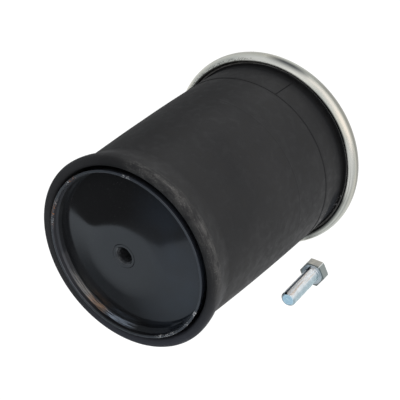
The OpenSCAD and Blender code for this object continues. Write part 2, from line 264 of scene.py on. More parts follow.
turning = bpy.data.node_groups.new("turning", "GeometryNodeTree")
use = new_inputs(turning, [
    ("Outline", "NodeSocketObject", None), ("Columns", "NodeSocketInt", 192),
    ("Ripple height", "NodeSocketFloat", 0.0), ("Ripples per metre", "NodeSocketFloat", 12.0),
    ("Seed", "NodeSocketFloat", 1.0), ("Finish", "NodeSocketMaterial", None)])
outline = wire(turning, "GeometryNodeObjectInfo", {"Object": use["Outline"]}).outputs["Geometry"]
counter = wire(turning, "GeometryNodeAttributeDomainSize", {"Geometry": outline}, component="CURVE")
count = counter.outputs["Point Count"]
grid = wire(turning, "GeometryNodeMeshGrid", {
    "Size X": 1.0, "Size Y": 1.0,
    "Vertices X": sums("ADD", use["Columns"], 1), "Vertices Y": sums("ADD", count, 1)})
place = wire(turning, "ShaderNodeSeparateXYZ", {0: turning.nodes.new("GeometryNodeInputPosition").outputs[0]})
row = sums("ROUND", sums("MULTIPLY", sums("ADD", place.outputs["Y"], 0.5), count))
picked = wire(turning, "GeometryNodeSampleIndex", {
    "Geometry": outline, "Value": turning.nodes.new("GeometryNodeInputPosition").outputs[0],
    "Index": sums("FLOORED_MODULO", row, count)}, data_type="FLOAT_VECTOR", domain="POINT")
point = wire(turning, "ShaderNodeSeparateXYZ", {0: picked.outputs[0]})
angle = sums("MULTIPLY", sums("ADD", place.outputs["X"], 0.5), math.tau)
turned_point = wire(turning, "ShaderNodeCombineXYZ", {
    "X": sums("MULTIPLY", point.outputs["X"], sums("COSINE", angle)),
    "Y": sums("MULTIPLY", point.outputs["X"], sums("SINE", angle)),
    "Z": point.outputs["Z"]})
turned_mesh = wire(turning, "GeometryNodeSetPosition", {
    "Geometry": grid.outputs["Mesh"], "Position": turned_point.outputs[0]})
welded = wire(turning, "GeometryNodeMergeByDistance", {
    "Geometry": turned_mesh.outputs[0], "Distance": 0.002 * MM})
noise = wire(turning, "ShaderNodeTexNoise", {
    "W": use["Seed"], "Scale": use["Ripples per metre"], "Detail": 1.0}, noise_dimensions="4D")
push = sums("MULTIPLY", sums("SUBTRACT", noise.outputs[0], 0.5), use["Ripple height"])
outward = wire(turning, "ShaderNodeVectorMath", {
    0: turning.nodes.new("GeometryNodeInputNormal").outputs[0], "Scale": push}, operation="SCALE")
rippled = wire(turning, "GeometryNodeSetPosition", {
    "Geometry": welded.outputs[0], "Offset": outward.outputs[0]})
dressed = wire(turning, "GeometryNodeSetMaterial", {
    "Geometry": wire(turning, "GeometryNodeRealizeInstances", {"Geometry": rippled.outputs[0]}).outputs[0],
    "Material": use["Finish"]})
turning.links.new(dressed.outputs[0], turning.nodes.new("NodeGroupOutput").inputs[0])
print("turning tree has", len(turning.nodes), "nodes")


# %% Running a tree
def grow(name, tree, values, crease=32):
    """Runs a tree with these inputs and returns the result as a plain mesh object."""
    carrier = bpy.data.objects.new(name + "_carrier", bpy.data.meshes.new(name + "_carrier"))
    bpy.context.scene.collection.objects.link(carrier)
    modifier = carrier.modifiers.new("tree", "NODES")
    modifier.node_group = tree
    for item in tree.interface.items_tree:
        if item.in_out == "INPUT" and item.name in values:
            modifier[item.identifier] = values[item.name]
    view = bpy.context.evaluated_depsgraph_get()
    mesh = bpy.data.meshes.new_from_object(carrier.evaluated_get(view))
    mesh.name = name
    bpy.data.objects.remove(carrier)
    return settle(name, mesh, values["Finish"], crease)


def smoothed(mesh, crease=32):
    """Turns all faces outward, smooths them, and keeps edges sharper than crease degrees."""
    work = bmesh.new()
    work.from_mesh(mesh)
    bmesh.ops.dissolve_degenerate(work, edges=work.edges, dist=0.001 * MM)
    bmesh.ops.recalc_face_normals(work, faces=work.faces)
    for face in work.faces:
        face.smooth = True
    for edge in work.edges:
        edge.smooth = edge.calc_face_angle(math.pi) < math.radians(crease)
    work.to_mesh(mesh)
    work.free()


def covered(mesh, finish):
    """Gives every face of a mesh this one finish."""
    mesh.materials.clear()
    mesh.materials.append(finish)
    for face in mesh.polygons:
        face.material_index = 0


def settle(name, mesh, finish, crease=32):
    """Smooths a mesh and puts it in the scene as a piece with this finish."""
    smoothed(mesh, crease)
    covered(mesh, finish)
    piece = bpy.data.objects.new(name, mesh)
    bpy.context.scene.collection.objects.link(piece)
    return piece


def turned(name, path, finish, columns=192, ripple=0.0, ripples=12.0, seed=1.0, crease=32):
    """A closed piece that is turned from a closed outline of (radius, height) points."""
    line = bpy.data.curves.new(name + "_outline", "CURVE")
    line.dimensions = "3D"
    spline = line.splines.new("POLY")
    spline.points.add(len(path) - 1)
    for at, (r, z) in zip(spline.points, path):
        at.co = (r, 0, z, 1)
    spline.use_cyclic_u = True
    drawn = bpy.data.objects.new(name + "_outline", line)
    bpy.context.scene.collection.objects.link(drawn)
    piece = grow(name, turning, {
        "Outline": drawn, "Columns": columns, "Ripple height": ripple,
        "Ripples per metre": ripples, "Seed": seed, "Finish": finish}, crease)
    bpy.data.objects.remove(drawn)
    print(name, len(piece.data.polygons), "faces")
    return piece


# %% [markdown]
# Finishes come next. All of them read Object coordinates, which are metres in the frame,
# so a scuff stays where the piece has it from every side. Dust and wear are laid over a
# colour in layers. A layer is a colour and a share from nothing to one, which nodes work
# out from noise, the height, the distance from the axis and the angle round it. Angles
# are in degrees: 0 is +X, and -90 is the side that faces the photograph's camera. A
# node or socket knows its tree, its id_data, so the helpers aren't told which tree it is.

# %% Finish helpers
def new_finish(name, colour, roughness, metallic=0.0):
    finish = bpy.data.materials.new(name)
    finish.use_nodes = True
    finish.diffuse_color = (*colour, 1)
    shader, spot = opened(finish)
    shader.inputs["Base Color"].default_value = (*colour, 1)
    shader.inputs["Roughness"].default_value = roughness
    shader.inputs["Metallic"].default_value = metallic
    return finish, shader, spot


def grain(spot, scale, detail=3.0, stretch=None, distortion=0.0):
    if stretch:
        spot = wire(spot.id_data, "ShaderNodeMapping", {"Vector": spot, "Scale": stretch}).outputs[0]
    return wire(spot.id_data, "ShaderNodeTexNoise", {
        "Vector": spot, "Scale": scale, "Detail": detail, "Distortion": distortion}).outputs[0]


def spread(value, low, high, to_low=0.0, to_high=1.0):
    """Maps low..high to to_low..to_high and holds the ends."""
    return wire(value.id_data, "ShaderNodeMapRange", {
        "Value": value, "From Min": low, "From Max": high, "To Min": to_low, "To Max": to_high}).outputs[0]


def product(first, *others):
    """Shares multiplied one after the other."""
    for other in others:
        first = sums("MULTIPLY", first, other)
    return first


def inverse(share):
    return spread(share, 0, 1, 1, 0)


def away(value, middle):
    """How far a value lies from the middle, on either side of it."""
    return sums("ABSOLUTE", sums("SUBTRACT", value, middle))


# %% Layers of colour
def blended(share, first, second):
    ends = [end if isinstance(end, bpy.types.NodeSocket) else (*end, 1) for end in (first, second)]
    mix = {0: share, 6: ends[0], 7: ends[1]}
    return wire(share.id_data, "ShaderNodeMix", mix, data_type="RGBA").outputs[2]


def layered(colour, layers):
    """Lays (share, colour) layers over a colour, the first one lowest."""
    for share, tint in layers:
        colour = blended(share, colour, tint)
    return colour


def retint(finish, layers):
    """Lays more layers over the colour that a finish already has."""
    shader = finish.node_tree.nodes["Principled BSDF"]
    colour = shader.inputs["Base Color"].links[0].from_socket
    feed(shader, "Base Color", layered(colour, layers))


def bumped(shader, height, distance, strength=1.0, before=None):
    inputs = {"Height": height, "Distance": distance, "Strength": strength}
    if before:
        inputs["Normal"] = before
    made = wire(shader.id_data, "ShaderNodeBump", inputs).outputs[0]
    feed(shader, "Normal", made)
    return made


# %% Places on a finish
def vectors(operation, a, b=(0, 0, 0)):
    return wire(a.id_data, "ShaderNodeVectorMath", {0: a, 1: b}, operation=operation).outputs


def height_of(spot):
    return wire(spot.id_data, "ShaderNodeSeparateXYZ", {0: spot}).outputs["Z"]


def along(spot, way):
    """How far a point lies along this direction."""
    return vectors("DOT_PRODUCT", spot, way)["Value"]


def flattened(spot):
    return vectors("MULTIPLY", spot, (1, 1, 0))[0]


def from_axis(spot):
    """Distance from the axis of the spring."""
    return vectors("LENGTH", flattened(spot))["Value"]


def ring_mask(spot, height, width):
    """One on a ring at this height, falling to nothing at half the width away."""
    return spread(away(height_of(spot), height), 0, width / 2, 1, 0)


def facing(spot, middle, none_at, full_at):
    """One within full_at degrees of this angle round the axis, nothing beyond none_at."""
    way = vectors("NORMALIZE", flattened(spot))[0]
    share = along(way, (math.cos(math.radians(middle)), math.sin(math.radians(middle)), 0))
    return spread(share, math.cos(math.radians(none_at)), math.cos(math.radians(full_at)))


def sectors(spot, wanted):
    """One near each of these angles round the axis, as (middle, half width) pairs."""
    total = 0.0
    for middle, half in wanted:
        total = sums("MAXIMUM", facing(spot, middle, half, half * 0.4), total)
    return total


# %% [markdown]
# The first finish is the moulded rubber of the sleeve: near black, matt, with a bloom of dust, painted shade
# on one side and a faint ring where a ply ends beneath the cover. The fold has a finish of its own, because
# only its shoulder is rubbed pale and its far and left sides have painted sheen, and so have the strip and
# the bead, which are darkened with painted shade next to the plate, with some dust at the bead's lip.

# %% Scuffed shoulder and painted sheen of the fold
lobe_r, lobe_low, lobe_high = reach("lobe_cover")
scuff_z = lobe_high - 6.4 * MM
scuff_slope = -0.031
shoulder_h = 12 * MM


def scuffs_and_painted_sheen(spot, colour):
    """Painted bluish sheen on the fold's far side, a lighter painted tone on its left side, and pale rubs on
    its near side.
    """
    risen = spread(height_of(spot), lobe_low, lobe_low + shoulder_h, 0, 0.9)
    tilted = away(along(spot, (scuff_slope, 0, 1)), scuff_z)
    band = product(spread(tilted, 0, 7.5 * MM, 1, 0), facing(spot, -96, 50, 26))
    rub = product(band, spread(grain(spot, 120, 5, (1, 1, 3)), 0.38, 0.62))
    nick = product(spread(grain(spot, 800, 2), 0.56, 0.66), sums("SQRT", rub))
    hair = spread(grain(spot, 60, 2, (1, 1, 22)), 0.6, 0.66)
    return layered(colour, [
        # The first two layers are painted light: a bluish painted sheen on the far side and a lighter painted
        # tone on the left side.
        (product(facing(spot, 148, 72, 28), risen), (0.032, 0.034, 0.042)),
        (product(facing(spot, 35, 75, 45), risen), (0.027, 0.027, 0.0285)),
        (product(rub, 0.5), (0.09, 0.088, 0.084)),
        (product(nick, 0.6), (0.12, 0.118, 0.112)),
        (product(hair, band, 0.5), (0.13, 0.128, 0.12)),
    ])


print("rubbed height of the fold:", round(scuff_z, 4))

# %% Moulded rubber
bead_top, strip_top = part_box("chafer_strip")[0][2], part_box("chafer_strip")[1][2]
ply_end_z = rim_z - 158 * MM
dirt_r = 104.5 * MM
chips_z = (58 * MM, 66 * MM)
under_z = (36 * MM, 42 * MM)
deepest_h = 4.5 * MM


def moulded_rubber(name, shade=1.0, shaded_below=None, dusty_bead=False, on_fold=False):
    finish, shader, spot = new_finish(name, (0.03, 0.03, 0.032), 0.62)
    cloud = grain(spot, 14, 4)
    fine = grain(spot, 900, 2)
    mottle = grain(spot, 110, 3, distortion=0.4)
    z = height_of(spot)
    dull = spread(mottle, 0.3, 0.7, 0.56, 0.74)
    dull = sums("ADD", dull, product(facing(spot, -12, 50, 26), 0.26))
    deep, plain, dusty = (tuple(c * shade for c in tone) for tone in (
        (0.0118, 0.0118, 0.0122), (0.0172, 0.017, 0.0172), (0.029, 0.0282, 0.027)))
    colour = layered(blended(spread(cloud, 0.35, 0.7), deep, plain), [
        # The layer at -8 degrees is painted shade, which darkens the rubber on the side near +X.
        (product(facing(spot, -8, 48, 22), 0.35), (0.004, 0.004, 0.0042)),
        (spread(mottle, 0.5, 0.75, 0, 0.3), dusty),
    ])
    if on_fold:
        colour = scuffs_and_painted_sheen(spot, colour)
    chips = product(spread(grain(spot, 420, 2), 0.63, 0.68), facing(spot, -156, 9, 4),
                    spread(z, *chips_z, 0.8, 0))
    colour = layered(colour, [
        (chips, (0.25, 0.25, 0.26)),
        (product(ring_mask(spot, ply_end_z, 1.6 * MM), 0.3), (0.006, 0.006, 0.007)),
    ])
    if dusty_bead:
        dirt = spread(away(from_axis(spot), dirt_r), 0.5 * MM, 1.2 * MM, 0.9, 0)
        dirt = product(dirt, spread(mottle, 0.3, 0.55, 0.55, 1))
        colour = blended(dirt, colour, (0.2, 0.195, 0.185))
    if shaded_below:
        # Painted shade next to the plate: the rubber darkens towards the bead and is nearly black just above
        # it, and a bluish painted shadow lies low on the side near -166 degrees, where the rubber is also
        # made rougher.
        under = product(spread(z, *under_z, 0.95, 0), facing(spot, -166, 24, 14))
        dull = sums("ADD", dull, product(under, 0.6))
        colour = layered(colour, [
            (spread(z, bead_top, shaded_below, 0.8, 0), (0.004, 0.004, 0.005)),
            (spread(z, bead_top, bead_top + deepest_h, 0.9, 0), (0.0015, 0.0015, 0.002)),
            (under, (0.003, 0.0045, 0.007)),
        ])
    feed(shader, "Base Color", colour)
    feed(shader, "Roughness", dull)
    shader.inputs["Specular IOR Level"].default_value = 0.2
    shader.inputs["Specular Tint"].default_value = (0.9, 0.95, 1, 1)
    uneven = bumped(shader, cloud, 2.0 * MM, 0.13)
    ply = bumped(shader, ring_mask(spot, ply_end_z, 3 * MM), 0.12 * MM, 0.7, uneven)
    bumped(shader, sums("ADD", product(mottle, 0.6), fine), 0.12 * MM, 0.7, ply)
    return finish


rubber = moulded_rubber("moulded_rubber")
fold_rubber = moulded_rubber("fold_rubber", on_fold=True)
# The bead's rubber is a copy with painted shade: its tones are scaled down to 0.3 because the bead sits in
# the crimp's shade. The pale ring at its lip is dust.
end_rubber = moulded_rubber("bead_rubber", 0.3, dusty_bead=True)
strip_rubber = moulded_rubber("strip_rubber", 0.97, bead_top + 16 * MM)
print("rubber finishes:", rubber.name, fold_rubber.name, end_rubber.name, strip_rubber.name)

# %% [markdown]
# The plate is zinc plated steel. Zinc is bright but not a mirror: it has a soft sheen, fine
# marks from the crimping rollers, and a cloudy, slightly warm or bluish passivation.
# Noise that is stretched along the axis gives the marks, and layers give the rim fine tick marks from the
# rollers, with painted light over them: a painted dark reflection on its inner edge, painted shade on the
# curl's outer band, a painted highlight on the crest, painted dark reflections and two dark lines of painted
# shade along the crease.

# %% Wear and painted light of the crimp
lip_end_r = 107 * MM


def crimp_layers(spot):
    z = height_of(spot)
    r = from_axis(spot)
    wide = product(spread(r, 108.6 * MM, 109.6 * MM, 0.6, 0), facing(spot, -163, 26, 12))
    dark_edge_reflection = product(spread(r, 108 * MM, 108.8 * MM, 0.75, 0), facing(spot, -115, 34, 22))
    foot = product(spread(z, 10.4 * MM, 11.8 * MM, 0.52, 0), facing(spot, -112, 50, 28))
    inner = product(spread(z, 13 * MM, 15 * MM, 0, 0.8), sectors(spot, [(-52, 30), (-132, 20)]))
    outer = product(spread(z, 11 * MM, 13.5 * MM, 0.45, 0), facing(spot, -14, 44, 28))
    dark_reflection_smear = product(ring_mask(spot, 12.3 * MM, 8 * MM), facing(spot, -60, 14, 3),
                    spread(r, 108.5 * MM, 109.5 * MM))
    ticks = product(spread(grain(spot, 650, 2), 0.5, 0.57, 0, 0.8),
                    facing(spot, -8, 34, 18), spread(r, 109.5 * MM, 111 * MM, 1, 0))
    layers = [
        # Painted dark reflection of the rubber on the lip's inner edge; the two layers after it widen it at
        # some angles.
        (spread(r, lip_end_r + 0.4 * MM, lip_end_r + 1.2 * MM, 0.93, 0), (0.052, 0.05, 0.047)),
        (wide, (0.09, 0.095, 0.09)),
        (dark_edge_reflection, (0.09, 0.095, 0.09)),
        # Painted shade on the outermost band of the curl.
        (foot, (0.08, 0.08, 0.075)),
        # Painted highlight on the crest of the curl.
        (inner, (0.72, 0.71, 0.65)),
        # Painted dark reflections on the upper left of the curl and as a smear near -60 degrees.
        (outer, (0.2, 0.2, 0.18)),
        (dark_reflection_smear, (0.055, 0.06, 0.065)),
        (ticks, (0.09, 0.085, 0.075)),
    ]
    # Two dark lines of painted shade along the crease, on the lower right side only.
    for line_r, depth in ((109.3 * MM, 0.5), (111.6 * MM, 0.35)):
        line = spread(away(r, line_r), 0.1 * MM, 0.45 * MM, depth, 0)
        layers.append((product(line, facing(spot, -158, 34, 16)), (0.1, 0.1, 0.095)))
    return layers


# %% Zinc
def zinc(name, tint, other, roughness, marks):
    finish, shader, spot = new_finish(name, tint, roughness, 1.0)
    cloud = grain(spot, 22, 3)
    fine = grain(spot, 420, 3)
    streak = grain(spot, marks, 2, (1, 1, 0.06))
    patch = spread(cloud, 0.35, 0.65)
    sheen = spread(cloud, 0.35, 0.65, roughness * 0.8, roughness * 1.3)
    feed(shader, "Base Color", blended(patch, tint, other))
    feed(shader, "Roughness", sheen)
    rolled = bumped(shader, streak, 0.05 * MM, 0.3)
    bumped(shader, fine, 0.03 * MM, 0.15, rolled)
    return finish


plate_zinc = zinc("zinc_plate", (0.49, 0.48, 0.42), (0.44, 0.455, 0.42), 0.27, 700)
retint(plate_zinc, crimp_layers(opened(plate_zinc)[1]))
clamp_zinc = zinc("zinc_clamp", (0.5, 0.485, 0.42), (0.42, 0.44, 0.42), 0.25, 700)
bright_tints = ((0.42, 0.53, 0.6), (0.56, 0.57, 0.58))
bolt_zinc = zinc("bright_zinc", *bright_tints, 0.15, 500)
shank_zinc = zinc("threaded_zinc", *bright_tints, 0.15, 500)
head_zinc = zinc("forged_zinc", (0.26, 0.26, 0.24), (0.4, 0.39, 0.35), 0.36, 500)
wire_steel = zinc("bead_wire", (0.55, 0.45, 0.28), (0.5, 0.44, 0.3), 0.35, 900)
print("the plate's finish has", len(plate_zinc.node_tree.nodes), "nodes")

# %% [markdown]
# The piston is dipped in gloss black paint. The paint mirrors the tent, with a slight orange peel and some
# dust, and it has been knocked off in spots along the rim, where bare metal and a little rust show. A painted
# pale reflection on the inner wall, a painted bluish reflection in the dish and a painted lighter tone on the
# rim's outside add to what it mirrors. Inside the rim runs a weld seam, with a painted highlight along it.

# %% Marks and painted light in the paint
rim_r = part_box("piston_shell")[1][0]


def dish_layers(spot):
    """Painted pale reflection on the inner wall, a painted bluish reflection in the dish and a painted
    highlight along the weld seam.
    """
    z = height_of(spot)
    r = from_axis(spot)
    pale_wall_reflection = product(spread(r, 80.3 * MM, 81 * MM), spread(r, 83.6 * MM, 83.2 * MM),
                   spread(z, rim_z - 7.4 * MM, rim_z - 6.4 * MM), facing(spot, 30, 85, 50))
    bluish_dish_reflection = product(facing(spot, -135, 85, 30), spread(grain(spot, 26, 3), 0.38, 0.66, 0.25, 1),
                   spread(r, 30 * MM, 55 * MM))
    # The seam layer is a painted highlight along the weld seam, in white, blue and orange tints.
    seam = product(spread(z, rim_z - 10.2 * MM, rim_z - 9 * MM),
                   spread(z, rim_z - 3.6 * MM, rim_z - 5 * MM),
                   spread(grain(spot, 60, 4, (1, 1, 40)), 0.46, 0.53),
                   facing(spot, 107, 33, 17), spread(r, 79.6 * MM, 80.2 * MM))
    shine = blended(sectors(spot, [(125, 18)]), (0.22, 0.21, 0.19), (0.26, 0.31, 0.38))
    shine = blended(sectors(spot, [(105, 10)]), shine, (0.3, 0.19, 0.12))
    return [(pale_wall_reflection, (0.04, 0.042, 0.047)), (bluish_dish_reflection, (0.011, 0.015, 0.022)), (seam, shine)]


def rim_layers(spot, worn_above):
    """Knocks and rust along the rim, then a painted lighter tone on its outside. The knocks come first."""
    z = height_of(spot)
    patches = sectors(spot, [(-51, 4), (-159, 3), (-171, 3), (168, 11)])
    specks = spread(grain(spot, 700, 3), 0.53, 0.58)
    left = sectors(spot, [(29, 14), (-4, 7)])
    chip = product(facing(spot, -157, 2.4, 1.4), spread(grain(spot, 330, 1), 0.4, 0.46))
    worn = product(sums("MAXIMUM", patches, left), sums("MAXIMUM", specks, chip),
                   spread(z, worn_above, worn_above + 1 * MM))
    rust = product(left, spread(grain(spot, 90, 1), 0.42, 0.5))
    # A painted lighter, bluish tone on the rim's outside, which stands in for light in the gap next to the
    # fold.
    lit_tone_outside = product(spread(from_axis(spot), 83.4 * MM, 83.9 * MM), inverse(worn),
                   spread(z, worn_above - 2 * MM, worn_above + 1 * MM, 0, 0.7))
    return [(worn, blended(rust, (0.5, 0.5, 0.5), (0.3, 0.13, 0.06))), (lit_tone_outside, (0.02, 0.024, 0.031))]


# %% Gloss black paint
def gloss_black(name, worn_above=None):
    finish, shader, spot = new_finish(name, (0.008, 0.009, 0.011), 0.1)
    shader.inputs["Specular Tint"].default_value = (0.84, 0.92, 1, 1)
    cloud = grain(spot, 18, 3)
    peel = grain(spot, 260, 2)
    specks = spread(grain(spot, 1300, 1), 0.72, 0.78)
    colour = blended(specks, (0.0075, 0.0075, 0.008), (0.06, 0.06, 0.06))
    colour = layered(colour, dish_layers(spot))
    rough = spread(cloud, 0.3, 0.7, 0.07, 0.16)
    if worn_above:
        layers = rim_layers(spot, worn_above)
        worn = layers[0][0]
        colour = layered(colour, layers)
        rough = sums("ADD", rough, product(worn, 0.35))
        feed(shader, "Metallic", product(worn, 0.7))
    feed(shader, "Base Color", colour)
    feed(shader, "Roughness", rough)
    uneven = bumped(shader, cloud, 1.2 * MM, 0.12)
    bumped(shader, peel, 0.04 * MM, 0.25, uneven)
    return finish


paint = gloss_black("gloss_black")
rim_paint = gloss_black("gloss_black_worn", rim_z - 2.2 * MM)
print("paint finishes:", paint.name, rim_paint.name)


# %% Plain inner finishes
def cast_look(name, colour, roughness, size):
    """A quiet finish for pieces inside: two tones of one colour and a fine bump."""
    finish, shader, spot = new_finish(name, colour, roughness)
    patch = grain(spot, size, 4)
    paler = tuple(c * 1.5 for c in colour)
    sheen = spread(patch, 0.3, 0.7, roughness * 0.85, roughness * 1.1)
    feed(shader, "Base Color", blended(spread(patch, 0.35, 0.65), colour, paler))
    feed(shader, "Roughness", sheen)
    bumped(shader, grain(spot, size * 9, 2), 0.06 * MM, 0.5)
    return finish


def tapped_boss(name, bore_r):
    """Black paint outside and dark, oily steel inside the tapped bore."""
    finish = gloss_black(name)
    shader, spot = opened(finish)
    inside = spread(from_axis(spot), bore_r, bore_r + 0.2 * MM, 1, 0)
    oily = spread(grain(spot, 300, 2), 0.4, 0.6)
    retint(finish, [(inside, blended(oily, (0.025, 0.026, 0.028), (0.05, 0.051, 0.054)))])
    feed(shader, "Metallic", product(inside, 0.4))
    return finish


boss_finish = tapped_boss("tapped_boss", 8.75 * MM)
bumper_rubber = cast_look("bumper_rubber", (0.02, 0.02, 0.021), 0.55, 60)
dark_steel = cast_look("dark_steel", (0.03, 0.03, 0.033), 0.4, 80)
print("finishes made:", len(bpy.data.materials))

# %% [markdown]
# The sleeve is the main form. It leaves the crimp, swells into a slight barrel, narrows to
# a neck and folds back on itself round the piston. The outer run is one piece from the
# bead to the neck and the fold is another, because the fold moves half as far as the
# piston. Where they meet, both have the same outline, so the seam doesn't show.

# %% Sizes of the sleeve
run_gap = 0.35 * MM
neck_in = 4.8 * MM
bulge_out = 6 * MM
wall_straight_l = 42 * MM
lobe_drop = 6.5 * MM
leg_l = 13.5 * MM
fold_off = 2.65 * MM
shell_t = 2.5 * MM
piston_r = reach("piston_base")[0] + shell_t
rubber_t = reach("inner_liner")[0] - piston_r
wall_plate_r, bead_z = reach("sleeve_cover")[:2]
neck_z = lobe_low
neck_r = lobe_r - neck_in
wall_mid_r = neck_r + bulge_out
straight_z = bead_z + wall_straight_l
fold_z = rim_z - lobe_drop
leg_r = piston_r + run_gap
leg_z = fold_z - leg_l
fold_in = leg_r + fold_off
fold_r = (lobe_r - fold_in) / 2
fold_c = lobe_r - fold_r
print("rubber is", round(rubber_t / MM, 2), "mm thick, fold radius", round(fold_r / MM, 2), "mm")

# %% Outer run of the sleeve
wall_line = [(wall_plate_r, bead_z)] + bend([
    (wall_plate_r, straight_z), (wall_mid_r, (straight_z + neck_z) / 2), (neck_r, neck_z)], 48)
sleeve_ripple = {"columns": 256, "ripple": 0.9 * MM, "ripples": 9, "seed": 3}
outer_run = turned("outer_run", filled(wall_line + inward(wall_line, rubber_t)[::-1], 2.5 * MM), rubber,
                   **sleeve_ripple)

# %% The fold
fold_side = bend([(neck_r, neck_z), (neck_r, neck_z + 0.4 * (fold_z - neck_z)),
                  (lobe_r, neck_z + 0.65 * (fold_z - neck_z)), (lobe_r, fold_z)], 24)
leg_side = bend([(fold_in, fold_z - 0.05 * (fold_z - leg_z)), (fold_in, fold_z - 0.4 * (fold_z - leg_z)),
                 (leg_r, fold_z - 0.6 * (fold_z - leg_z)), (leg_r, leg_z)], 12)


def fold_line(depth):
    crest = arc((fold_c, fold_z), fold_r - depth, 0, 180, 32)[1:]
    return inward(fold_side, depth) + crest + inward(leg_side, -depth)


fold = turned("fold", filled(fold_line(0) + fold_line(rubber_t)[::-1], 2 * MM), fold_rubber, columns=256)

# %% Inner run on the piston
shoulder_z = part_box("inner_cover")[0][2]
inner_run = turned("inner_run", filled([
    (piston_r + 0.1 * MM, shoulder_z), (piston_r + rubber_t, shoulder_z),
    (leg_r + rubber_t, leg_z), (leg_r, leg_z)], 6 * MM), rubber, columns=128)

# %% [markdown]
# Next to the plate the sleeve carries a thin chafer strip. Its edge is the fine ring that
# shows in the picture, and its two ends meet in one splice, a narrow slit that runs along
# the sleeve. The slit is cut with a Boolean modifier and a thin box, so it has real depth
# and catches a real shadow.

# %% Cutting
def cut_out(piece, cutter):
    """Cuts the shape of a helper object out of a piece and removes the helper."""
    cut = piece.modifiers.new("cut", "BOOLEAN")
    cut.object = cutter
    cut.solver = "EXACT"
    view = bpy.context.evaluated_depsgraph_get()
    mesh = bpy.data.meshes.new_from_object(piece.evaluated_get(view))
    piece.modifiers.remove(cut)
    old, piece.data = piece.data, mesh
    smoothed(mesh)
    covered(mesh, old.materials[0])
    bpy.data.meshes.remove(old)
    mesh.name = piece.name
    bpy.data.objects.remove(cutter)


def drilled(piece, centre, radius, depth):
    """Cuts a round hole of this radius through a piece, along Z."""
    bpy.ops.mesh.primitive_cylinder_add(vertices=64, radius=radius, depth=depth, location=centre)
    cut_out(piece, bpy.context.object)


# %% Chafer strip
strip_t = reach("chafer_strip")[0] - wall_plate_r
strip_sunk = 0.4 * MM
splice_angle = math.radians(-68)
splice_gap = 0.6 * MM


def splice_painted_shade(finish):
    """Darkens the rubber close to the splice with painted shade in and beside the slit."""
    spot = opened(finish)[1]
    off = along(spot, (math.sin(splice_angle), -math.cos(splice_angle), 0))
    ahead = along(spot, (math.cos(splice_angle), math.sin(splice_angle), 0))
    near = spread(sums("ABSOLUTE", off), splice_gap / 2, splice_gap * 1.6, 0.9, 0)
    share = product(near, sums("GREATER_THAN", ahead, 0))
    retint(finish, [(share, (0.003, 0.003, 0.0035))])


splice_painted_shade(strip_rubber)
strip = turned("strip", filled([
    (wall_plate_r - strip_sunk, bead_z), (wall_plate_r + strip_t, bead_z),
    (wall_plate_r + strip_t, strip_top - 1.2 * MM), (wall_plate_r + strip_t * 0.6, strip_top - 0.2 * MM),
    (wall_plate_r - strip_sunk, strip_top)], 2.5 * MM), strip_rubber, **sleeve_ripple)
splice_at = Vector((math.cos(splice_angle), math.sin(splice_angle), 0)) * (wall_plate_r + strip_t / 2)
bpy.ops.mesh.primitive_cube_add(size=1, location=(splice_at.x, splice_at.y, strip_top))
slit = bpy.context.object
slit.scale = (6 * MM, splice_gap, 2 * strip_top)
slit.rotation_euler.z = splice_angle
cut_out(strip, slit)
print("strip has", len(strip.data.polygons), "faces once its splice is cut")

# %% [markdown]
# The plate is pressed from sheet and its rim is rolled over the sleeve's bead. The curl
# is an arc that ends in a straight lip. Holes for the nuts and the air inlet are cut
# afterwards with Boolean modifiers, which keep the cuts clean on a curved mesh.

# %% Bead plate
plate_rim_r = reach("bead_plate")[0]
plate_t = 3 * MM
curl_r = 8.5 * MM
curl_sweep = 50
curl_c = (plate_rim_r - curl_r, curl_r)
lip_l = 5.5 * MM


def lip_end(radius):
    start = arc(curl_c, radius, curl_sweep, curl_sweep, 1)[0]
    a = math.radians(curl_sweep)
    return start[0] - lip_l * math.sin(a), start[1] + lip_l * math.cos(a)


lip_soft = 0.5 * MM
outer_lip, inner_lip = Vector(lip_end(curl_r)), Vector(lip_end(curl_r - plate_t))
edge = (outer_lip - inner_lip).normalized()
lip_way = Vector((-math.sin(math.radians(curl_sweep)), math.cos(math.radians(curl_sweep))))
lip_round = bend([outer_lip - lip_way * 4.5 * MM, outer_lip, inner_lip + edge * lip_soft], 12) + bend([
    inner_lip + edge * lip_soft, inner_lip, inner_lip - lip_way * lip_soft], 4)[1:]
plate_path = ([(0, plate_t), (0, 0)] + arc(curl_c, curl_r, -90, curl_sweep, 40) + lip_round
              + arc(curl_c, curl_r - plate_t, curl_sweep, -90, 28))
plate = turned("plate", filled(plate_path, 12 * MM), plate_zinc, columns=256)

# %% Holes of the plate
nut_half = 13 * MM
nut_hole_r = 7.95 * MM
inlet_hole_r = 10.1 * MM
nut_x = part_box("mounting_nuts")[1][0] - nut_half
inlet_low, inlet_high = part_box("air_inlet")
inlet_y = (inlet_low[1] + inlet_high[1]) / 2
for x, y, radius in ((-nut_x, 0, nut_hole_r), (nut_x, 0, nut_hole_r), (0, inlet_y, inlet_hole_r)):
    drilled(plate, (x, y, plate_t / 2), radius, plate_t * 3)
print("plate has", len(plate.data.polygons), "faces after drilling")

# %% [markdown]
# The piston is a drawn steel cup whose rim flares out a little. The pressed base sits
# inside it, with a raised middle, so that only its dish and the flared rim show.

